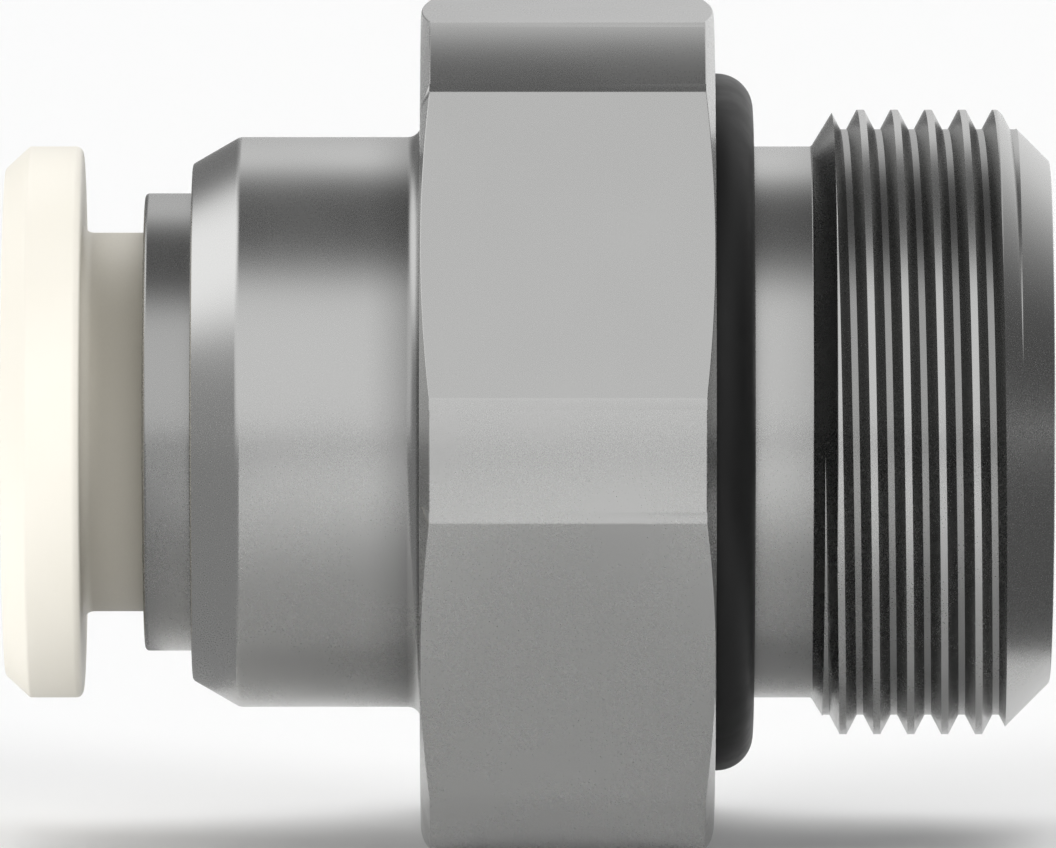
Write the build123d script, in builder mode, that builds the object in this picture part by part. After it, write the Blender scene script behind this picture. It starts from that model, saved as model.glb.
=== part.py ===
from build123d import *
from math import cos, radians, sin, tan
import os

# Male straight push-in fitting for 8 mm tube, millimetres.
# +X is the way the thread screws in, and x = 0 is the face of the hexagon that seats on the port.
# The part lies on one flat of its hexagon, with its axis level and +Z up.

# Clearances
seat_gap = 0.02            # between pieces that are pressed or squeezed together
running_gap = 0.05         # between pieces that turn or slide on each other
groove_gap = 0.06          # beside the O-ring in its groove
ring_gap = 0.1             # round the claws and their seat, which turn in the bore

# Hexagon, 22 mm across its flats
face_rim = 1.64            # of its face, outside the O-ring's groove
hex_thickness = 7.8
corner_relief = 0.83       # turned off each sharp corner
hex_chamfer_angle = 15.0   # from the end face
hex_face_step = 0.1        # how far inside the flats the chamfer starts

# Screw-in end
thread_diameter = 16.66    # major diameter of the parallel pipe thread
thread_relief = 0.98       # depth of the neck below the thread's crests
neck_length = 2.6
thread_run_in = 0.6        # axial length of the shoulder where the thread starts
male_length = 8.95         # from the sealing face to the end
end_chamfer = 1.38
end_wall = 3.13            # from the thread's crests to the bore in its end
end_bore_depth = 5.2
drill_point_angle = 118.0
end_bore_chamfer = 0.3

# Face O-ring
seal_section = 1.93
seal_stand_off = 0.08      # centre of the O-ring's section beyond the sealing face

# Tube end of the body
spigot_length = 6.08
spigot_wall = 1.48
spigot_chamfer_depth = 0.72
spigot_chamfer_length = 1.25
spigot_root_radius = 0.35

# Guide sleeve
guide_wall = 0.55          # round the button's collar
guide_projection = 1.27    # ahead of the body
guide_land_length = 2.1
guide_edge_radius = 0.12
guide_overrun = 0.7        # bore left behind the button's collar when it is pressed

# Release button
button_bore_gap = 0.15     # round the tube
button_wall = 0.9          # of its neck
flange_height = 2.3        # above the neck
flange_thickness = 2.07
flange_chamfer_depth = 0.6
flange_chamfer_length = 0.65
flange_edge_radius = 0.2
button_root_radius = 0.28
collar_height = 0.45       # above the button's neck
collar_length = 1.0
collar_lead = 0.3
mouth_chamfer = 0.45
nose_relief = 0.05         # below the neck, where the nose leaves the collar
nose_tip_wall = 0.5
nose_stand_off = 0.6       # from the claws' rim with the button released
button_travel = 1.5
stop_allowance = 0.15      # gap left behind the flange with the button pressed

# Tube and what holds it
tube_diameter = 8.0
bite = 0.15                # how far the claws and the lip reach into the tube's outside
tube_socket_gap = 0.1
socket_length = 2.2
tube_stop_step = 0.8       # from the tube's outside to the flow bore
claw_count = 10
claw_thickness = 0.3
claw_angle = 40.0          # from the plane of the rim
claw_rim_width = 0.6
claw_slot_width = 0.8
claw_root_band = 0.15      # unslotted band inside the rim
seat_length = 3.2
seat_recess_depth = 2.1
seat_recess_step = 0.3
seat_bore_gap = 0.2
tube_seal_length = 3.0
seal_outer_wall = 0.55
seal_groove_depth = 1.5
seal_groove_width = 0.9
seal_groove_taper = 0.2
seal_lip_set_back = 0.2    # from the end of the seal, so that the lip can swing
seal_lip_length = 0.5      # from the lip's end to where it meets the tube
seal_lip_width = 0.25
seal_lip_round = 0.1

# Radii that follow from the sizes above
thread_r = thread_diameter / 2
neck_r = thread_r - thread_relief
groove_r = neck_r + seat_gap + seal_section + groove_gap
flat_r = groove_r + face_rim
end_bore_r = thread_r - end_wall
tube_r = tube_diameter / 2
grip_r = tube_r - bite
socket_r = tube_r + tube_socket_gap
flow_r = tube_r - tube_stop_step
button_bore_r = tube_r + button_bore_gap
button_neck_r = button_bore_r + button_wall
flange_r = button_neck_r + flange_height
collar_r = button_neck_r + collar_height
guide_r = collar_r + running_gap + guide_wall
cartridge_r = guide_r + seat_gap
spigot_r = cartridge_r + spigot_wall
ring_r = cartridge_r - ring_gap
rim_inner_r = ring_r - claw_rim_width
claw_root_r = rim_inner_r - claw_root_band
seat_bore_r = tube_r + seat_bore_gap

# Stations along the axis, from the tube end to the screw-in end
spigot_front = -hex_thickness - spigot_length
guide_front = spigot_front - guide_projection
flange_back = guide_front - button_travel - stop_allowance
button_front = flange_back - flange_thickness
collar_front = guide_front + guide_land_length + running_gap
collar_back = collar_front + collar_length
guide_back = collar_back + button_travel + guide_overrun
claws_front = guide_back + running_gap
nose_back = claws_front - nose_stand_off
seat_front = claws_front + claw_thickness
seat_back = seat_front + seat_length
tube_seal_front = seat_back + running_gap
tube_seal_back = tube_seal_front + tube_seal_length
seal_shoulder = tube_seal_back + seat_gap
tube_stop = seal_shoulder + socket_length
thread_start = neck_length + thread_run_in
hex_middle = -hex_thickness / 2


def nearest(vertices, x, r):
    """The sketch corner that lies closest to station x and radius r."""
    return vertices.sort_by_distance((x, r))[0]


# Body, turned and milled from one bar
with BuildPart() as fitting_body:
    # The hexagon, its corners turned down to a round
    with BuildSketch(Plane.YZ.offset(-hex_thickness)):
        flats = RegularPolygon(flat_r, 6, major_radius=False)
        corner_r = flats.radius - corner_relief
        Circle(corner_r, mode=Mode.INTERSECT)
    extrude(amount=hex_thickness)

    # Both ends of it chamfered on the lathe
    hex_face_r = flat_r - hex_face_step
    chamfer_run = (flats.radius - hex_face_r) * tan(radians(hex_chamfer_angle))
    for end_face, inward in ((0, -1), (-hex_thickness, 1)):
        with BuildSketch(Plane.XZ):
            with BuildLine():
                Polyline(
                    (end_face, hex_face_r),
                    (end_face, flats.radius),
                    (end_face + inward * chamfer_run, flats.radius),
                    close=True,
                )
            make_face()
        revolve(axis=Axis.X, mode=Mode.SUBTRACT)

    # Spigot, neck and threaded end, joined inside the hexagon
    shoulder_r = spigot_r + 2 * spigot_root_radius
    with BuildSketch(Plane.XZ) as turned_outline:
        with BuildLine():
            Polyline(
                (spigot_front, 0),
                (spigot_front, spigot_r - spigot_chamfer_depth),
                (spigot_front + spigot_chamfer_length, spigot_r),
                (-hex_thickness, spigot_r),
                (-hex_thickness, shoulder_r),
                (hex_middle, shoulder_r),
                (hex_middle, neck_r),
                (neck_length, neck_r),
                (thread_start, thread_r),
                (male_length - end_chamfer, thread_r),
                (male_length, thread_r - end_chamfer),
                (male_length, 0),
                close=True,
            )
        make_face()
        fillet(nearest(turned_outline.vertices(), -hex_thickness, spigot_r), spigot_root_radius)
    revolve(axis=Axis.X)

    # Groove in the sealing face, as deep as the O-ring reaches
    seal_groove_floor = seal_stand_off - seal_section / 2 - seat_gap
    with BuildSketch(Plane.YZ):
        Circle(groove_r)
        Circle(neck_r, mode=Mode.SUBTRACT)
    extrude(amount=seal_groove_floor, mode=Mode.SUBTRACT)

    # Stepped bore: cartridge, tube socket, flow bore and the wider bore in the threaded end
    end_bore_start = male_length - end_bore_depth
    drill_point = (end_bore_r - flow_r) / tan(radians(drill_point_angle / 2))
    with BuildSketch(Plane.XZ):
        with BuildLine():
            Polyline(
                (spigot_front, 0),
                (spigot_front, cartridge_r),
                (seal_shoulder, cartridge_r),
                (seal_shoulder, socket_r),
                (tube_stop, socket_r),
                (tube_stop, flow_r),
                (end_bore_start - drill_point, flow_r),
                (end_bore_start, end_bore_r),
                (male_length - end_bore_chamfer, end_bore_r),
                (male_length, end_bore_r + end_bore_chamfer),
                (male_length, 0),
                close=True,
            )
        make_face()
    revolve(axis=Axis.X, mode=Mode.SUBTRACT)

# Black O-ring, half sunk in its groove round the neck
with BuildPart() as face_seal:
    with BuildSketch(Plane.XZ):
        with Locations((seal_stand_off, neck_r + seat_gap + seal_section / 2)):
            Circle(seal_section / 2)
    revolve(axis=Axis.X)

# Guide sleeve, pressed into the body, with a counterbore for the button's collar
with BuildPart() as guide_sleeve:
    with BuildSketch(Plane.XZ) as guide_section:
        with BuildLine():
            Polyline(
                (guide_front, button_neck_r + running_gap),
                (guide_front, guide_r),
                (guide_back, guide_r),
                (guide_back, collar_r + running_gap),
                (collar_front - running_gap, collar_r + running_gap),
                (collar_front - running_gap, button_neck_r + running_gap),
                close=True,
            )
        make_face()
        guide_corners = guide_section.vertices()
        outer_edge = nearest(guide_corners, guide_front, guide_r)
        inner_edge = nearest(guide_corners, guide_front, button_neck_r)
        fillet([outer_edge, inner_edge], guide_edge_radius)
    revolve(axis=Axis.X)

# Release button: flange, neck, catch collar and the nose that opens the claws
with BuildPart() as release_button:
    with BuildSketch(Plane.XZ) as button_section:
        with BuildLine():
            Polyline(
                (button_front, button_bore_r + mouth_chamfer),
                (button_front, flange_r - flange_chamfer_depth),
                (button_front + flange_chamfer_length, flange_r),
                (flange_back, flange_r),
                (flange_back, button_neck_r),
                (collar_front, button_neck_r),
                (collar_front, collar_r),
                (collar_back - collar_lead, collar_r),
                (collar_back, collar_r - collar_lead),
                (collar_back, button_neck_r - nose_relief),
                (nose_back, button_bore_r + nose_tip_wall),
                (nose_back, button_bore_r),
                (button_front + mouth_chamfer, button_bore_r),
                close=True,
            )
        make_face()
        fillet(nearest(button_section.vertices(), flange_back, flange_r), flange_edge_radius)
        fillet(nearest(button_section.vertices(), flange_back, button_neck_r), button_root_radius)
    revolve(axis=Axis.X)

# Claw ring: a flat rim and sprung claws that lean in along the tube
with BuildPart() as lock_claws:
    lean = radians(claw_angle)
    claw_length = (rim_inner_r - grip_r) / cos(lean)
    claw_tip = (claws_front + claw_length * sin(lean), grip_r)
    claw_heel = (claw_tip[0] + claw_thickness * cos(lean), grip_r + claw_thickness * sin(lean))
    rim_bend_r = rim_inner_r + claw_thickness * tan(lean / 2)
    with BuildSketch(Plane.XZ):
        with BuildLine():
            Polyline(
                (claws_front, ring_r),
                (seat_front, ring_r),
                (seat_front, rim_bend_r),
                claw_heel,
                claw_tip,
                (claws_front, rim_inner_r),
                close=True,
            )
        make_face()
    revolve(axis=Axis.X)
    with BuildSketch(Plane.YZ.offset(claws_front)):
        with PolarLocations(claw_root_r / 2, claw_count):
            SlotOverall(claw_root_r, claw_slot_width)
    extrude(amount=claw_heel[0] - claws_front, mode=Mode.SUBTRACT)

# Seat behind the claws, dished so that they can fold back
with BuildPart() as claw_seat:
    with BuildSketch(Plane.XZ):
        with BuildLine():
            Polyline(
                (seat_front, rim_bend_r),
                (seat_front, ring_r),
                (seat_back, ring_r),
                (seat_back, seat_bore_r),
                (seat_front + seat_recess_depth, seat_bore_r),
                (seat_front + seat_recess_depth, seat_bore_r + seat_recess_step),
                close=True,
            )
        make_face()
    revolve(axis=Axis.X)

# Lip seal on the tube, its groove open to the pressure side
with BuildPart() as tube_seal:
    outer_lip_r = guide_r - seal_outer_wall
    groove_floor = tube_seal_back - seal_groove_depth
    lip_end = tube_seal_back - seal_lip_set_back
    lip_contact = lip_end - seal_lip_length
    with BuildSketch(Plane.XZ) as seal_profile:
        with BuildLine():
            Polyline(
                (tube_seal_front, seat_bore_r),
                (tube_seal_front, guide_r),
                (tube_seal_back, guide_r),
                (tube_seal_back, outer_lip_r),
                (groove_floor, outer_lip_r - seal_groove_taper),
                (groove_floor, outer_lip_r - seal_groove_width),
                (lip_end, seat_bore_r + seal_lip_width),
                (lip_end, seat_bore_r),
                (lip_contact, grip_r),
                (groove_floor, seat_bore_r),
                close=True,
            )
        make_face()
        lip_corner = nearest(seal_profile.vertices(), lip_contact, grip_r)
        lip_tip = nearest(seal_profile.vertices(), lip_end, seat_bore_r + seal_lip_width)
        floor_corner = nearest(seal_profile.vertices(), groove_floor, outer_lip_r)
        fillet([lip_corner, lip_tip, floor_corner], seal_lip_round)
    revolve(axis=Axis.X)

fitting_body.part.label = "fitting_body"
face_seal.part.label = "face_seal"
guide_sleeve.part.label = "guide_sleeve"
release_button.part.label = "release_button"
lock_claws.part.label = "lock_claws"
claw_seat.part.label = "claw_seat"
tube_seal.part.label = "tube_seal"

os.makedirs("parts", exist_ok=True)
export_step(fitting_body.part, "parts/fitting_body.step")
export_step(face_seal.part, "parts/face_seal.step")
export_step(guide_sleeve.part, "parts/guide_sleeve.step")
export_step(release_button.part, "parts/release_button.step")
export_step(lock_claws.part, "parts/lock_claws.step")
export_step(claw_seat.part, "parts/claw_seat.step")
export_step(tube_seal.part, "parts/tube_seal.step")
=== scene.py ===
import math

import bmesh
import bpy
from mathutils import Matrix, Vector


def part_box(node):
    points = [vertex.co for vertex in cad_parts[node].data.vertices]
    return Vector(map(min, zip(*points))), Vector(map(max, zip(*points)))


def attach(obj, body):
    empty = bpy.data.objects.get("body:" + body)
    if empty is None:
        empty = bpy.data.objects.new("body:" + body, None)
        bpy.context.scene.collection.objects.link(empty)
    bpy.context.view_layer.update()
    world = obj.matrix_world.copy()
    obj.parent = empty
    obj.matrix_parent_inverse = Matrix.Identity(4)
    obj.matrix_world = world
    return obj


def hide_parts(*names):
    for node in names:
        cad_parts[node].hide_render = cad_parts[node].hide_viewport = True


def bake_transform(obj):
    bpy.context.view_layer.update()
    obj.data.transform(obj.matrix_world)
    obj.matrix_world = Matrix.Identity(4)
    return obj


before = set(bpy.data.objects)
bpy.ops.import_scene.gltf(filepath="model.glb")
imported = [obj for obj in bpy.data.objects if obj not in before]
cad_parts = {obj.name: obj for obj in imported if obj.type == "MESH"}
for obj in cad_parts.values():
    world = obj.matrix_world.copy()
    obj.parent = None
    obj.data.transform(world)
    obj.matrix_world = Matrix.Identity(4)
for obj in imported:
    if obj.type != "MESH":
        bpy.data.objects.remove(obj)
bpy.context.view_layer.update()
print("frame loaded with", len(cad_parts), "nodes")

# Every length is in millimetres while a piece is shaped. finishPiece scales it to metres.
mm = 0.001
axisX = Vector((1, 0, 0))       # the part's own axis, the way it screws in
weldReach = 0.0004              # points closer than this become one
nearly = 0.001                  # lengths that differ by less count as the same
slightRound = 0.05              # an edge that is just broken, not shaped
stepsRound = 168                # facets round the axis of a turned piece, so that none ends just at a flat


def nodeReach(node):
    # first and last place of a round CAD node along the axis, and its smallest and largest radius
    points = [v.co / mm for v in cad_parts[node].data.vertices]
    radii = [math.hypot(p.y, p.z) for p in points]
    places = [p.x for p in points]
    return min(places), max(places), min(radii), max(radii)


def cutOutline(points, segments=5):
    # a flat face through (place, radius) points; a third number rounds that corner to this radius
    bm = bmesh.new()
    corners = [bm.verts.new((x, 0, r)) for x, r, *rounding in points]
    bm.faces.new(corners)
    rounds = []
    for i, (x, r, *rounding) in enumerate(points):
        if rounding:
            back = corners[i - 1].co - corners[i].co
            ahead = corners[(i + 1) % len(corners)].co - corners[i].co
            rounds.append((corners[i], rounding[0] / math.tan(back.angle(ahead) / 2)))
    for corner, reach in rounds:
        bmesh.ops.bevel(bm, geom=[corner], offset=reach, offset_type="OFFSET", affect="VERTICES",
                        segments=segments, profile=0.5, material=-1)
    return bm


def turnOutline(bm, steps=stepsRound):
    # spins the outline's edges round the axis, as a lathe would
    bmesh.ops.delete(bm, geom=bm.faces[:], context="FACES_ONLY")
    bmesh.ops.spin(bm, geom=bm.verts[:] + bm.edges[:], cent=(0, 0, 0), axis=axisX, dvec=(0, 0, 0),
                   angle=2 * math.pi, steps=steps, use_merge=True, use_duplicate=False)
    bmesh.ops.recalc_face_normals(bm, faces=bm.faces[:])
    return bm


def newObject(bm, name):
    mesh = bpy.data.meshes.new(name)
    bm.to_mesh(mesh)
    bm.free()
    made = bpy.data.objects.new(name, mesh)
    bpy.context.scene.collection.objects.link(made)
    return made


def applyModifiers(piece):
    graph = bpy.context.evaluated_depsgraph_get()
    shaped = bpy.data.meshes.new_from_object(piece.evaluated_get(graph), depsgraph=graph)
    piece.modifiers.clear()
    old = piece.data
    piece.data = shaped
    bpy.data.meshes.remove(old)
    shaped.name = piece.name


def cutAway(piece, cutter):
    # takes the cutter's shape out of the piece
    cut = piece.modifiers.new("cut", "BOOLEAN")
    cut.operation = "DIFFERENCE"
    cut.solver = "EXACT"
    cut.object = cutter
    applyModifiers(piece)
    bpy.data.objects.remove(cutter)


def finishPiece(piece, materials, sharpAngle=32):
    # rounds shade smooth, big faces stay flat, and the mesh goes to metres with its object at the origin
    bm = bmesh.new()
    bm.from_mesh(piece.data)
    bmesh.ops.remove_doubles(bm, verts=bm.verts[:], dist=weldReach)
    bmesh.ops.dissolve_degenerate(bm, edges=bm.edges[:], dist=weldReach)
    bm.to_mesh(piece.data)
    bm.free()
    piece.data.shade_smooth()
    piece.data.set_sharp_from_angle(angle=math.radians(sharpAngle))
    evened = piece.modifiers.new("evened", "WEIGHTED_NORMAL")
    evened.keep_sharp = True
    applyModifiers(piece)
    piece.data.transform(Matrix.Scale(mm, 4))
    piece.data.materials.clear()
    for material in materials:
        piece.data.materials.append(material)
    print("made", piece.name, "with", len(piece.data.polygons), "faces")
    return piece


# Materials

def linearColour(hexText):
    channels = [int(hexText[i:i + 2], 16) / 255 for i in (1, 3, 5)]
    return [c / 12.92 if c <= 0.04045 else ((c + 0.055) / 1.055) ** 2.4 for c in channels] + [1.0]


def addNode(tree, kind, options=None, values=None, links=None):
    # one node: options are its settings, values fill its sockets and links feed them. In a Mix node socket 0
    # is the share, 2 and 3 are its two numbers, and 6 and 7 its two colours.
    node = tree.nodes.new("ShaderNode" + kind)
    for name, value in (options or {}).items():
        setattr(node, name, value)
    for name, value in (values or {}).items():
        node.inputs[name].default_value = value
    for name, source in (links or {}).items():
        tree.links.new(source, node.inputs[name])
    return node


def newMaterial(name):
    material = bpy.data.materials.new(name)
    material.use_nodes = True
    material.node_tree.nodes.clear()
    return material, material.node_tree


# Nickel plate on machined brass: a thin bright coat that follows the tool marks below it.
# It gives a cool mid grey with soft, stretched reflections and lines as fine as the tool's feed.
nickel = dict(
    colour="#BFBFBE",
    sleeveColour="#A9A9A8",     # a darker grey for the guide sleeve's plate
    paintedShadeColour="#464645",     # painted shade, darkening the plate in closed-in corners
    paintedShadeReach=1.5,        # mm, how far from a corner the painted shade reaches
    roughness=0.27,
    roughnessSpread=0.03,
    toolFeed=0.09,          # mm between turning marks on lathe-cut faces
    barGrain=0.07,          # mm between the drawn lines along the hexagon's flats
    barRun=0.02,            # how much slower the drawn lines change along the bar
    markHeight=0.00008,     # mm
    speckle=0.045,          # mm, the plate's own grain, drawn coarser than the real few microns to show
    speckleShade=0.01,
    cloud=2.5,              # mm, patches of slightly duller plate
)


def paintCornerShade(tree, paintedShadeColour, reach, alone):
    # painted shade: a Mix that darkens the colour in its socket 7 towards a shade colour where the surface is
    # closed in;
    # alone counts only the piece itself as closing it in
    openness = addNode(tree, "AmbientOcclusion", {"samples": 8, "only_local": alone},
                       {"Distance": reach * mm})
    return addNode(tree, "Mix", {"data_type": "RGBA"}, {6: linearColour(paintedShadeColour)},
                   {0: openness.outputs["AO"]})


def nickelPlate(name, stretch, colour):
    # stretch turns object coordinates into the space in which the tool's marks lie
    material, tree = newMaterial(name)
    place = addNode(tree, "TexCoord").outputs["Object"]
    marks = addNode(tree, "TexNoise", {"noise_dimensions": "3D"},
                    {"Scale": 1.0, "Detail": 3.0, "Roughness": 0.6}, {"Vector": stretch(tree, place)})
    speckle = addNode(tree, "TexNoise", {"noise_dimensions": "3D"},
                      {"Scale": 1 / (nickel["speckle"] * mm), "Detail": 2.0}, {"Vector": place})
    cloud = addNode(tree, "TexNoise", {"noise_dimensions": "3D"},
                    {"Scale": 1 / (nickel["cloud"] * mm), "Detail": 2.0}, {"Vector": place})
    dull = addNode(tree, "Math", {"operation": "ADD"}, None,
                   {0: cloud.outputs["Fac"], 1: speckle.outputs["Fac"]})
    rough = addNode(tree, "MapRange", None,
                    {"From Min": 0.6, "From Max": 1.4,
                     "To Min": nickel["roughness"] - nickel["roughnessSpread"],
                     "To Max": nickel["roughness"] + nickel["roughnessSpread"]},
                    {"Value": dull.outputs[0]})
    shade = addNode(tree, "MapRange", None,
                    {"From Min": 0.3, "From Max": 0.7,
                     "To Min": 1 - nickel["speckleShade"], "To Max": 1 + nickel["speckleShade"]},
                    {"Value": speckle.outputs["Fac"]})
    # the plate's colour, with painted shade where its corners close in
    plate = paintCornerShade(tree, nickel["paintedShadeColour"], nickel["paintedShadeReach"], True)
    plate.inputs[7].default_value = linearColour(colour)
    tint = addNode(tree, "VectorMath", {"operation": "SCALE"}, None,
                   {0: plate.outputs[2], "Scale": shade.outputs[0]})
    relief = addNode(tree, "Bump", None, {"Strength": 1.0, "Distance": nickel["markHeight"] * mm},
                     {"Height": marks.outputs["Fac"]})
    shader = addNode(tree, "BsdfPrincipled", None, {"Metallic": 1.0},
                     {"Base Color": tint.outputs[0], "Roughness": rough.outputs[0],
                      "Normal": relief.outputs[0]})
    addNode(tree, "OutputMaterial", None, None, {"Surface": shader.outputs[0]})
    return material


def alongLathe(tree, place):
    # rings round the axis: only the place along it and the radius count
    parts = addNode(tree, "SeparateXYZ", None, None, {0: place})
    across = addNode(tree, "CombineXYZ", None, None, {"Y": parts.outputs["Y"], "Z": parts.outputs["Z"]})
    radius = addNode(tree, "VectorMath", {"operation": "LENGTH"}, None, {0: across.outputs[0]})
    rings = addNode(tree, "CombineXYZ", None, None,
                    {"X": parts.outputs["X"], "Y": radius.outputs["Value"]})
    fine = addNode(tree, "VectorMath", {"operation": "SCALE"}, {"Scale": 1 / (nickel["toolFeed"] * mm)},
                   {0: rings.outputs[0]})
    return fine.outputs[0]


def alongBar(tree, place):
    # long lines in the direction that the bar was drawn
    lineSpacing = nickel["barGrain"] * mm
    drawn = addNode(tree, "Mapping", None,
                    {"Scale": (nickel["barRun"] / lineSpacing, 1 / lineSpacing, 1 / lineSpacing)},
                    {"Vector": place})
    return drawn.outputs[0]


# Acetal (POM), injection moulded in its natural cream: a satin, slightly waxy skin.
# It shows soft highlights, a faint orange peel and hardly any change of tone.
acetal = dict(
    colour="#FDF9EE",
    shadeColour="#FAF5E8",
    paintedShadeColour="#A8A397",     # painted shade, deep in the groove and beside other pieces
    paintedShadeReach=2.5,        # mm, how far the painted shade reaches
    roughness=0.42,
    roughnessSpread=0.04,
    flow=3.0,               # mm, cloudy tone left by the flow of the melt
    peel=0.12,              # mm, texture of the mould's wall
    peelHeight=0.0012,      # mm
)


def creamAcetal():
    material, tree = newMaterial("creamAcetal")
    place = addNode(tree, "TexCoord").outputs["Object"]
    flow = addNode(tree, "TexNoise", None, {"Scale": 1 / (acetal["flow"] * mm), "Detail": 2.0},
                   {"Vector": place})
    peel = addNode(tree, "TexNoise", None, {"Scale": 1 / (acetal["peel"] * mm), "Detail": 3.0},
                   {"Vector": place})
    tone = addNode(tree, "Mix", {"data_type": "RGBA"},
                   {6: linearColour(acetal["colour"]), 7: linearColour(acetal["shadeColour"])},
                   {0: flow.outputs["Fac"]})
    # the melt's tone, with painted shade in the groove and where other pieces close it in
    skin = paintCornerShade(tree, acetal["paintedShadeColour"], acetal["paintedShadeReach"], False)
    tree.links.new(tone.outputs[2], skin.inputs[7])
    rough = addNode(tree, "MapRange", None,
                    {"From Min": 0.3, "From Max": 0.7,
                     "To Min": acetal["roughness"] - acetal["roughnessSpread"],
                     "To Max": acetal["roughness"] + acetal["roughnessSpread"]},
                    {"Value": peel.outputs["Fac"]})
    relief = addNode(tree, "Bump", None, {"Strength": 1.0, "Distance": acetal["peelHeight"] * mm},
                     {"Height": peel.outputs["Fac"]})
    shader = addNode(tree, "BsdfPrincipled", None, {"IOR": 1.48},
                     {"Base Color": skin.outputs[2], "Roughness": rough.outputs[0],
                      "Normal": relief.outputs[0]})
    addNode(tree, "OutputMaterial", None, None, {"Surface": shader.outputs[0]})
    return material


# Nitrile rubber (NBR), moulded and trimmed: near black with carbon, a satin skin and a faint grey bloom.
# It shows one broad dull highlight and very little else.
nitrile = dict(
    colour="#0F0F0F",
    bloomColour="#181818",
    roughness=0.46,
    roughnessSpread=0.06,
    bloom=0.8,              # mm, patches of wax that rises to the skin
    grain=0.06,             # mm, the mould's blasted wall
    grainHeight=0.0015,     # mm
)


def blackNitrile():
    material, tree = newMaterial("blackNitrile")
    place = addNode(tree, "TexCoord").outputs["Object"]
    bloom = addNode(tree, "TexNoise", None, {"Scale": 1 / (nitrile["bloom"] * mm), "Detail": 4.0},
                    {"Vector": place})
    grain = addNode(tree, "TexNoise", None, {"Scale": 1 / (nitrile["grain"] * mm), "Detail": 2.0},
                    {"Vector": place})
    tone = addNode(tree, "Mix", {"data_type": "RGBA"},
                   {6: linearColour(nitrile["colour"]), 7: linearColour(nitrile["bloomColour"])},
                   {0: bloom.outputs["Fac"]})
    rough = addNode(tree, "MapRange", None,
                    {"From Min": 0.3, "From Max": 0.7,
                     "To Min": nitrile["roughness"] - nitrile["roughnessSpread"],
                     "To Max": nitrile["roughness"] + nitrile["roughnessSpread"]},
                    {"Value": bloom.outputs["Fac"]})
    relief = addNode(tree, "Bump", None, {"Strength": 1.0, "Distance": nitrile["grainHeight"] * mm},
                     {"Height": grain.outputs["Fac"]})
    shader = addNode(tree, "BsdfPrincipled", None, {"IOR": 1.52, "Specular IOR Level": 0.3},
                     {"Base Color": tone.outputs[2], "Roughness": rough.outputs[0],
                      "Normal": relief.outputs[0]})
    addNode(tree, "OutputMaterial", None, None, {"Surface": shader.outputs[0]})
    return material


# Stainless spring strip, cold rolled: brighter and harder than the plate, with fine rolling lines.
spring = dict(
    colour="#C8C7C4",
    roughness=0.2,
    roughnessSpread=0.04,
    rollLine=0.05,          # mm between rolling lines, drawn coarser than the real ones
    rollHeight=0.0003,      # mm
    rollRun=0.03,           # how much slower the lines change along the strip
)


def stainlessStrip():
    material, tree = newMaterial("stainlessStrip")
    place = addNode(tree, "TexCoord").outputs["Object"]
    rolled = addNode(tree, "Mapping", None,
                     {"Scale": [share / (spring["rollLine"] * mm) for share in (1, 1, spring["rollRun"])]},
                     {"Vector": place})
    lines = addNode(tree, "TexNoise", None, {"Scale": 1.0, "Detail": 3.0}, {"Vector": rolled.outputs[0]})
    rough = addNode(tree, "MapRange", None,
                    {"From Min": 0.3, "From Max": 0.7,
                     "To Min": spring["roughness"] - spring["roughnessSpread"],
                     "To Max": spring["roughness"] + spring["roughnessSpread"]},
                    {"Value": lines.outputs["Fac"]})
    relief = addNode(tree, "Bump", None, {"Strength": 1.0, "Distance": spring["rollHeight"] * mm},
                     {"Height": lines.outputs["Fac"]})
    shader = addNode(tree, "BsdfPrincipled", None,
                     {"Base Color": linearColour(spring["colour"]), "Metallic": 1.0},
                     {"Roughness": rough.outputs[0], "Normal": relief.outputs[0]})
    addNode(tree, "OutputMaterial", None, None, {"Surface": shader.outputs[0]})
    return material


turnedNickel = nickelPlate("turnedNickelPlate", alongLathe, nickel["colour"])
drawnNickel = nickelPlate("drawnNickelPlate", alongBar, nickel["colour"])
sleeveNickel = nickelPlate("sleeveNickelPlate", alongLathe, nickel["sleeveColour"])
creamPlastic = creamAcetal()
blackRubber = blackNitrile()
springSteel = stainlessStrip()
print("materials ready")


# Fitting body: one turned and milled piece with spigot, hexagon, O-ring groove, neck and thread
bodyFront, bodyEnd, flowRadius, hexCorner = nodeReach("fitting_body")
body = dict(
    flat=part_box("fitting_body")[1].z / mm,      # from the axis to a flat
    hexLength=7.8,
    hexFace=10.9,           # radius of the plain ring on both faces of the hexagon
    hexFaceRound=0.6,
    hexConeAngle=15,
    hexEdge=0.06,           # how far the rims and corner lines of the hexagon are rounded
    spigot=7.6, spigotTip=6.88, spigotCone=1.25, spigotRoot=0.35, spigotEdge=0.3,
    cartridge=6.12, cartridgeFloor=-3.18,
    tubeSocket=4.1, tubeStop=-0.98,
    grooveOuter=9.36, grooveFloor=-0.905, grooveRound=0.12,
    neck=7.35, neckEnd=2.6, neckRound=0.08,
    drillFloor=3.75, drillAngle=118, endBore=5.2, endChamfer=0.3, endRound=0.04,
    cartridgeRound=0.1, tipRound=0.12,
)
thread = dict(
    major=8.33, start=3.2, crestEnd=7.57, tip=6.95,
    pitch=0.904, rootRadius=7.81, rootFlat=0.172, flankAngle=27.7,
    firstGroove=3.47,       # a groove crosses the top of the part here
    turns=9, overTop=0.12,  # turns of the cutter, and how far it reaches past the crests
    startRound=0.06, crestRound=0.1,
)


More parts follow.
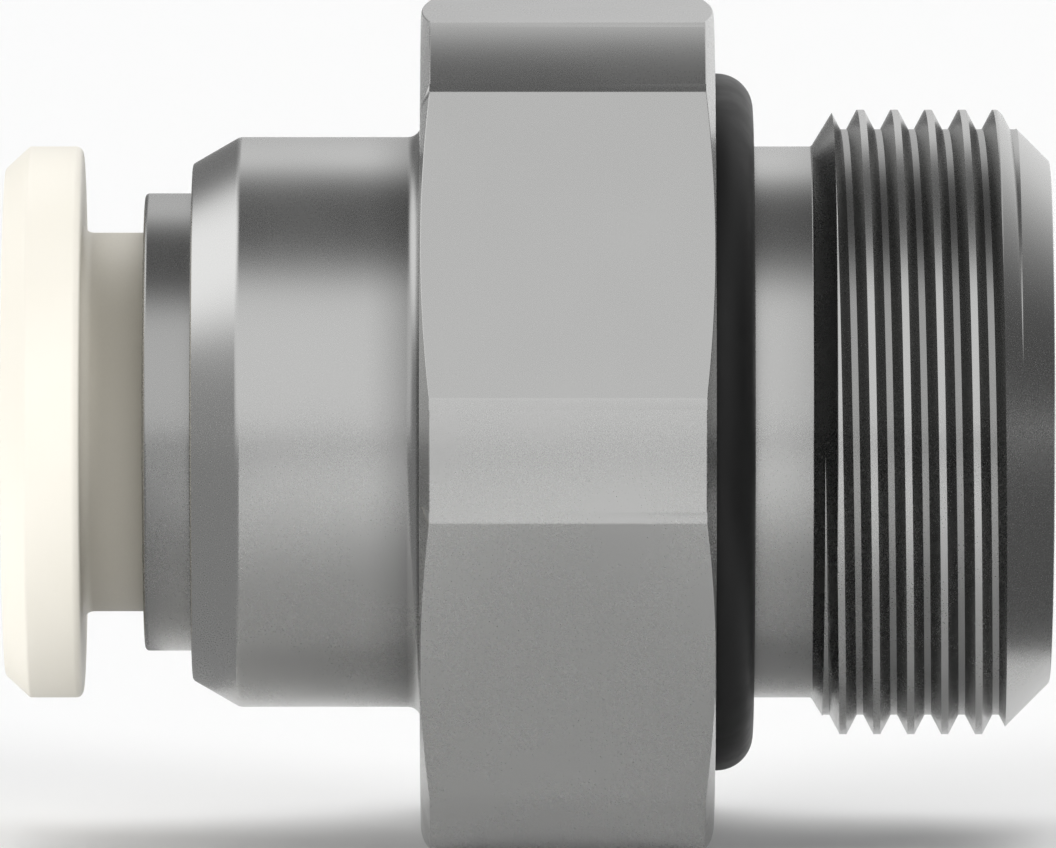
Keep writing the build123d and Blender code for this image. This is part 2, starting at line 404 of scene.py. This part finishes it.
def bodyOutline():
    hexBack = -body["hexLength"]
    coneLength = (hexCorner - body["hexFace"]) * math.tan(math.radians(body["hexConeAngle"]))
    drillLength = (body["endBore"] - flowRadius) / math.tan(math.radians(body["drillAngle"] / 2))
    return [
        (bodyFront, body["cartridge"], slightRound),
        (bodyFront, body["spigotTip"], body["tipRound"]),
        (bodyFront + body["spigotCone"], body["spigot"], body["spigotEdge"]),
        (hexBack, body["spigot"], body["spigotRoot"]),
        (hexBack, body["hexFace"], body["hexFaceRound"]),
        (hexBack + coneLength, hexCorner),
        (-coneLength, hexCorner),
        (0, body["hexFace"], body["hexFaceRound"]),
        (0, body["grooveOuter"], slightRound),
        (body["grooveFloor"], body["grooveOuter"], body["grooveRound"]),
        (body["grooveFloor"], body["neck"], body["grooveRound"]),
        (body["neckEnd"], body["neck"], body["neckRound"]),
        (thread["start"], thread["major"], thread["startRound"]),
        (thread["crestEnd"], thread["major"], thread["crestRound"]),
        (bodyEnd, thread["tip"], body["tipRound"]),
        (bodyEnd, body["endBore"] + body["endChamfer"], body["endRound"]),
        (bodyEnd - body["endChamfer"], body["endBore"], body["endRound"]),
        (body["drillFloor"], body["endBore"]),
        (body["drillFloor"] - drillLength, flowRadius, slightRound),
        (body["tubeStop"], flowRadius, slightRound),
        (body["tubeStop"], body["tubeSocket"], slightRound),
        (body["cartridgeFloor"], body["tubeSocket"], slightRound),
        (body["cartridgeFloor"], body["cartridge"], body["cartridgeRound"]),
    ]


def millHexagon(bm):
    # planes as far out as the flats cut only the wide disc; each cut is closed with one face
    flats = []
    for side in range(6):
        out = Matrix.Rotation(math.radians(60 * side), 3, axisX) @ Vector((0, 0, 1))
        cut = bmesh.ops.bisect_plane(bm, geom=bm.verts[:] + bm.edges[:] + bm.faces[:], dist=1e-5,
                                     plane_co=out * body["flat"], plane_no=out, clear_outer=True)
        rim = [e for e in cut["geom_cut"] if isinstance(e, bmesh.types.BMEdge)]
        flats += bmesh.ops.edgeloop_fill(bm, edges=rim)["faces"]
    bmesh.ops.recalc_face_normals(bm, faces=bm.faces[:])
    return flats


def markRims(bm, flats):
    # the edges of the hexagon that are rounded: all round each flat, and where a corner meets a cone
    weight = bm.edges.layers.float.new("bevel_weight_edge")
    for flat in flats:
        flat.material_index = 1
        for edge in flat.edges:
            edge[weight] = 1.0
    for edge in bm.edges:
        first, second = (v.co for v in edge.verts)
        atCorner = min(first.yz.length, second.yz.length) > hexCorner - nearly
        if atCorner and abs(first.x - second.x) < nearly:
            edge[weight] = 1.0


def threadCutter():
    # a V with a flat root, wound once round for each turn
    slope = math.tan(math.radians(thread["flankAngle"]))
    top = thread["major"] + thread["overTop"]
    rootHalf = thread["rootFlat"] / 2
    topHalf = rootHalf + (top - thread["rootRadius"]) * slope
    start = thread["firstGroove"] - 2 * thread["pitch"]
    bm = cutOutline([(start - topHalf, top), (start + topHalf, top),
                     (start + rootHalf, thread["rootRadius"]), (start - rootHalf, thread["rootRadius"])])
    bmesh.ops.spin(bm, geom=bm.verts[:] + bm.edges[:] + bm.faces[:], cent=(0, 0, 0), axis=axisX,
                   dvec=(thread["pitch"] / stepsRound, 0, 0), angle=2 * math.pi * thread["turns"],
                   steps=stepsRound * thread["turns"], use_merge=False, use_duplicate=False)
    bmesh.ops.recalc_face_normals(bm, faces=bm.faces[:])
    return newObject(bm, "threadCutter")


def makeFittingBody():
    bm = turnOutline(cutOutline(bodyOutline(), segments=6))
    markRims(bm, millHexagon(bm))
    piece = newObject(bm, "fittingBody")
    rims = piece.modifiers.new("rims", "BEVEL")
    rims.limit_method = "WEIGHT"
    rims.width = body["hexEdge"]
    rims.segments = 4
    applyModifiers(piece)
    cutAway(piece, threadCutter())
    return finishPiece(piece, [turnedNickel, drawnNickel])


fittingBody = makeFittingBody()
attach(fittingBody, "housing")
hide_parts("fitting_body")


# O-ring: a plain round cord in the groove of the sealing face
sealFront, sealEnd, sealInner, sealOuter = nodeReach("face_seal")


def makeFaceSeal():
    section = (sealOuter - sealInner) / 2
    bm = bmesh.new()
    bmesh.ops.create_circle(bm, cap_ends=True, radius=section, segments=48)
    bmesh.ops.rotate(bm, verts=bm.verts[:], cent=(0, 0, 0), matrix=Matrix.Rotation(math.pi / 2, 3, "X"))
    bmesh.ops.translate(bm, verts=bm.verts[:], vec=((sealFront + sealEnd) / 2, 0, sealInner + section))
    return finishPiece(newObject(turnOutline(bm), "faceSeal"), [blackRubber])


faceSeal = makeFaceSeal()
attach(faceSeal, "housing")
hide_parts("face_seal")


# Guide sleeve: pressed into the body, and the release button runs in it
guideFront, guideEnd, guideBore, guideOuter = nodeReach("guide_sleeve")
guide = dict(wall=0.55, landLength=2.1, edge=0.12)


def makeGuideSleeve():
    landEnd = guideFront + guide["landLength"]
    wide = guideOuter - guide["wall"]
    outline = [
        (guideFront, guideBore, guide["edge"]), (guideFront, guideOuter, guide["edge"]),
        (guideEnd, guideOuter, slightRound), (guideEnd, wide, slightRound),
        (landEnd, wide, slightRound), (landEnd, guideBore, slightRound),
    ]
    return finishPiece(newObject(turnOutline(cutOutline(outline)), "guideSleeve"), [sleeveNickel])


guideSleeve = makeGuideSleeve()
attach(guideSleeve, "housing")
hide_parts("guide_sleeve")


# Release button: the ring that is pressed to free the tube
buttonFront, buttonEnd, buttonBore, buttonOuter = nodeReach("release_button")
button = dict(
    flangeThickness=2.07, flangeEdge=0.2, faceChamferDepth=0.6, faceChamferLength=0.65, faceEdge=0.12,
    neck=5.05, neckRoot=0.28, mouthChamfer=0.45, mouthEdge=0.06,
    collar=5.5, collarStart=-13.0, collarEnd=-12.0, collarLead=0.3, collarTail=5.2,
    nose=5.0, noseTip=4.65,
)


def makeReleaseButton():
    flangeBack = buttonFront + button["flangeThickness"]
    outline = [
        (buttonFront, buttonBore + button["mouthChamfer"], button["mouthEdge"]),
        (buttonFront, buttonOuter - button["faceChamferDepth"], button["faceEdge"]),
        (buttonFront + button["faceChamferLength"], buttonOuter, button["faceEdge"]),
        (flangeBack, buttonOuter, button["flangeEdge"]),
        (flangeBack, button["neck"], button["neckRoot"]),
        (button["collarStart"], button["neck"], slightRound),
        (button["collarStart"], button["collar"], slightRound),
        (button["collarEnd"] - button["collarLead"], button["collar"], slightRound),
        (button["collarEnd"], button["collarTail"], slightRound),
        (button["collarEnd"], button["nose"]),
        (buttonEnd, button["noseTip"], slightRound),
        (buttonEnd, buttonBore, slightRound),
        (buttonFront + button["mouthChamfer"], buttonBore, button["mouthEdge"]),
    ]
    return finishPiece(newObject(turnOutline(cutOutline(outline)), "releaseButton"), [creamPlastic])


releaseButton = makeReleaseButton()
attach(releaseButton, "button")
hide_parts("release_button")


# Claw ring: spring steel strip, pressed to a cone and slotted into claws that bite the tube
clawFront, clawEnd, clawTip, clawOuter = nodeReach("lock_claws")
claws = dict(
    count=10, rimInner=5.529, thickness=0.3, backTip=4.043, backTipPlace=-8.203,
    frontRim=5.42, slotWidth=0.8, slotEnd=5.27,
    rimRound=0.04, tipRound=0.03, biteBack=0.23,
    slotReach=2,            # how far a slot's cutter runs on past the middle of its own round end
    slotOverrun=0.5,        # how far it stands out of both faces
    steps=120,              # facets round the axis, the same number in each claw
    bendEnd=-7.27,          # from here on a claw follows the button alone
)


def clawSlots():
    # one round-ended slot, open to the middle, then repeated round the axis
    bm = bmesh.new()
    half = claws["slotWidth"] / 2
    bmesh.ops.create_circle(bm, cap_ends=True, radius=half, segments=24)
    bmesh.ops.rotate(bm, verts=bm.verts[:], cent=(0, 0, 0), matrix=Matrix.Rotation(math.pi / 2, 3, "Y"))
    inner = [v for v in bm.verts if v.co.z < nearly]
    bmesh.ops.translate(bm, verts=inner, vec=(0, 0, -claws["slotReach"]))
    bmesh.ops.translate(bm, verts=bm.verts[:],
                        vec=(clawFront - claws["slotOverrun"], 0, claws["slotEnd"] - half))
    deep = bmesh.ops.extrude_face_region(bm, geom=bm.faces[:])["geom"]
    bmesh.ops.translate(bm, verts=[v for v in deep if isinstance(v, bmesh.types.BMVert)],
                        vec=(clawEnd - clawFront + 2 * claws["slotOverrun"], 0, 0))
    bmesh.ops.recalc_face_normals(bm, faces=bm.faces[:])
    bmesh.ops.spin(bm, geom=bm.verts[:] + bm.edges[:] + bm.faces[:], cent=(0, 0, 0), axis=axisX,
                   dvec=(0, 0, 0), angle=2 * math.pi * (1 - 1 / claws["count"]),
                   steps=claws["count"] - 1, use_merge=False, use_duplicate=True)
    return newObject(bm, "clawSlots")


def makeClawRing():
    rimBack = clawFront + claws["thickness"]
    outline = [
        (clawFront, clawOuter, claws["rimRound"]), (rimBack, clawOuter, claws["rimRound"]),
        (rimBack, claws["rimInner"]), (claws["backTipPlace"], claws["backTip"], claws["tipRound"]),
        (clawEnd - claws["biteBack"], clawTip, claws["tipRound"]), (clawFront, claws["frontRim"]),
    ]
    piece = newObject(turnOutline(cutOutline(outline, segments=3), claws["steps"]), "clawRing")
    cutAway(piece, clawSlots())
    return finishPiece(piece, [springSteel])


clawRing = makeClawRing()
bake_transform(clawRing)
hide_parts("lock_claws")


# Claw seat: the dished ring that the claws fold back into
seatFront, seatEnd, seatBore, seatOuter = nodeReach("claw_seat")
seat = dict(dishMouth=5.529, dishDepth=2.1, dishFloor=4.5, edge=0.04, boreEdge=0.06)


def makeClawSeat():
    dishEnd = seatFront + seat["dishDepth"]
    outline = [
        (seatFront, seat["dishMouth"]), (seatFront, seatOuter, seat["edge"]),
        (seatEnd, seatOuter, seat["edge"]), (seatEnd, seatBore, seat["boreEdge"]),
        (dishEnd, seatBore, seat["boreEdge"]), (dishEnd, seat["dishFloor"], slightRound),
    ]
    return finishPiece(newObject(turnOutline(cutOutline(outline)), "clawSeat"), [creamPlastic])


clawSeat = makeClawSeat()
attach(clawSeat, "grip")
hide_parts("claw_seat")


# Tube seal: a rubber ring with a soft lip that closes on the tube
lipFront, lipEnd, lipTip, lipOuter = nodeReach("tube_seal")
lip = dict(
    bore=4.2, outerWall=0.55, grooveDepth=1.5, grooveTaper=0.2, grooveInner=4.45, setBack=0.2,
    length=0.5, round=0.1,
)


def makeTubeSeal():
    grooveFloor = lipEnd - lip["grooveDepth"]
    wall = lipOuter - lip["outerWall"]
    lipPlace = lipEnd - lip["setBack"]
    outline = [
        (lipFront, lip["bore"], slightRound), (lipFront, lipOuter, slightRound),
        (lipEnd, lipOuter, slightRound), (lipEnd, wall, slightRound),
        (grooveFloor, wall - lip["grooveTaper"], lip["round"]),
        (grooveFloor, lip["grooveInner"] + lip["grooveTaper"], lip["round"]),
        (lipPlace, lip["grooveInner"], lip["round"]), (lipPlace, lip["bore"], lip["round"]),
        (lipPlace - lip["length"], lipTip, lip["round"]), (grooveFloor, lip["bore"]),
    ]
    return finishPiece(newObject(turnOutline(cutOutline(outline)), "tubeSeal"), [blackRubber])


tubeSeal = makeTubeSeal()
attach(tubeSeal, "housing")
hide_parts("tube_seal")


# The camera stands where the picture was taken from
photo = dict(
    width=1056, height=848,             # pixels
    faceColumn=713.4, axisRow=421.95,   # where the sealing face and the axis are in it
    pixel=0.02668,                      # mm that a pixel spans at the axis
    distance=560, elevation=5, sensor=36,
    nearest=0.05, farthest=10,          # m, the camera's clip range
)


def makeCamera():
    aim = Vector(((photo["width"] / 2 - photo["faceColumn"]) * photo["pixel"], 0,
                  (photo["axisRow"] - photo["height"] / 2) * photo["pixel"]))
    tilt = math.radians(photo["elevation"])
    back = Vector((0, -math.cos(tilt), math.sin(tilt)))
    camera = bpy.data.objects.new("camera", bpy.data.cameras.new("camera"))
    camera.location = (aim + back * photo["distance"]) * mm
    camera.rotation_euler = (math.pi / 2 - tilt, 0, 0)
    camera.data.sensor_width = photo["sensor"]
    camera.data.lens = photo["sensor"] * photo["distance"] / (photo["width"] * photo["pixel"])
    camera.data.clip_start = photo["nearest"]
    camera.data.clip_end = photo["farthest"]
    bpy.context.scene.collection.objects.link(camera)
    bpy.context.scene.camera = camera


# The studio is a pale tent. Each soft box or dark flag gives the tent its own brightness in one direction:
# where it stands, a press below 1 that draws it out in height, the half angles at which it is full and gone,
# and how bright it is.
studio = dict(
    tent=1.0,
    parts=[
        ("dark right end", (1.0, 0.0, 0.0), 1.0, 14, 64, 0.1),
        ("dim left end", (-1.0, -0.1, -0.25), 1.0, 28, 62, 0.36),
        ("dark roof", (0.0, 0.09, 1.0), 1.0, 6, 41, 0.14),
        ("key box on the left", (-0.68, 0.1, 0.72), 1.0, 12, 34, 1.5),
        ("flag behind on the left", (-0.42, 0.9, -0.04), 0.4, 14, 32, 0.22),
    ],
)

# The tent lights what is glossy. Wide lamps light what is matt: where each shines from, its strength and
# its width in degrees. The one behind keeps the floor pale and lets the shadow fall to the front.
lamps = dict(
    behind=((0.0, 0.62, 0.78), 1.95, 50),
    overhead=((0.0, 0.0, 1.0), 0.9, 140),
    frontLeft=((-0.85, -0.5, 0.2), 1.75, 22),
    frontRight=((0.85, -0.5, 0.2), 1.8, 22),
)
floor = dict(
    radius=2000, colour="#FCFCFC",
    roller=0.8, rollerHeight=0.004,     # mm, the texture that a paint roller leaves
)

# Grey cards on the floor beyond both ends of the part: left, right, front and back edge, and how bright.
cards = dict(rightCard=(14, 1500, -600, 13, 0.12), leftCard=(-900, -15, -400, 60, 0.34))
cardHeight = 0.2


def makeStudio():
    world = bpy.data.worlds.new("studio")
    world.use_nodes = True
    tree = world.node_tree
    tree.nodes.clear()
    direction = addNode(tree, "TexCoord").outputs["Generated"]
    level = addNode(tree, "Value")
    level.outputs[0].default_value = studio["tent"]
    light = level.outputs[0]
    for name, toward, press, full, gone, brightness in studio["parts"]:
        pressed = addNode(tree, "VectorMath", {"operation": "MULTIPLY"}, {1: (1, 1, press)}, {0: direction})
        evened = addNode(tree, "VectorMath", {"operation": "NORMALIZE"}, None, {0: pressed.outputs[0]})
        nearness = addNode(tree, "VectorMath", {"operation": "DOT_PRODUCT", "label": name},
                           {1: Vector(toward).normalized()}, {0: evened.outputs[0]})
        share = addNode(tree, "MapRange", {"interpolation_type": "SMOOTHSTEP"},
                        {"From Min": math.cos(math.radians(gone)), "From Max": math.cos(math.radians(full))},
                        {"Value": nearness.outputs["Value"]})
        light = addNode(tree, "Mix", {"data_type": "FLOAT"}, {3: brightness},
                        {0: share.outputs[0], 2: light}).outputs[0]
    shining = addNode(tree, "Background", None, {"Color": (1, 1, 1, 1)}, {"Strength": light})
    addNode(tree, "OutputWorld", None, None, {"Surface": shining.outputs[0]})
    world.cycles_visibility.diffuse = False
    bpy.context.scene.world = world
    for name, (shinesFrom, strength, width) in lamps.items():
        lamp = bpy.data.lights.new(name, "SUN")
        lamp.energy = strength
        lamp.angle = math.radians(width)
        holder = bpy.data.objects.new(name, lamp)
        holder.rotation_euler = Vector(shinesFrom).to_track_quat("Z", "Y").to_euler()
        holder.visible_glossy = False
        bpy.context.scene.collection.objects.link(holder)


def makeFloor():
    # pale painted board: matt, with a very fine roller texture
    bm = bmesh.new()
    bmesh.ops.create_circle(bm, cap_ends=True, radius=floor["radius"] * mm, segments=96)
    bmesh.ops.translate(bm, verts=bm.verts[:], vec=(0, 0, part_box("fitting_body")[0].z))
    board = newObject(bm, "floorBoard")
    material, tree = newMaterial("paintedBoard")
    place = addNode(tree, "TexCoord").outputs["Object"]
    roller = addNode(tree, "TexNoise", None, {"Scale": 1 / (floor["roller"] * mm), "Detail": 2.0},
                     {"Vector": place})
    relief = addNode(tree, "Bump", None, {"Strength": 1.0, "Distance": floor["rollerHeight"] * mm},
                     {"Height": roller.outputs["Fac"]})
    paint = addNode(tree, "BsdfDiffuse", None, {"Color": linearColour(floor["colour"])},
                    {"Normal": relief.outputs[0]})
    addNode(tree, "OutputMaterial", None, None, {"Surface": paint.outputs[0]})
    board.data.materials.append(material)


def makeCards():
    # the cards are flags for the metal: only reflections see them
    for name, (left, right, front, back, brightness) in cards.items():
        bm = bmesh.new()
        corners = [bm.verts.new((x, y, 0)) for x, y in
                   ((left, front), (right, front), (right, back), (left, back))]
        bm.faces.new(corners)
        bmesh.ops.scale(bm, vec=(mm, mm, mm), verts=bm.verts[:])
        bmesh.ops.translate(bm, verts=bm.verts[:],
                            vec=(0, 0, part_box("fitting_body")[0].z + cardHeight * mm))
        card = newObject(bm, name)
        material, tree = newMaterial(name)
        grey = addNode(tree, "Emission", None, {"Strength": brightness})
        addNode(tree, "OutputMaterial", None, None, {"Surface": grey.outputs[0]})
        card.data.materials.append(material)
        card.visible_camera = False
        card.visible_diffuse = False
        card.visible_shadow = False


makeCamera()
makeStudio()
makeFloor()
makeCards()
bpy.context.scene.view_settings.view_transform = "Standard"
print("studio ready")
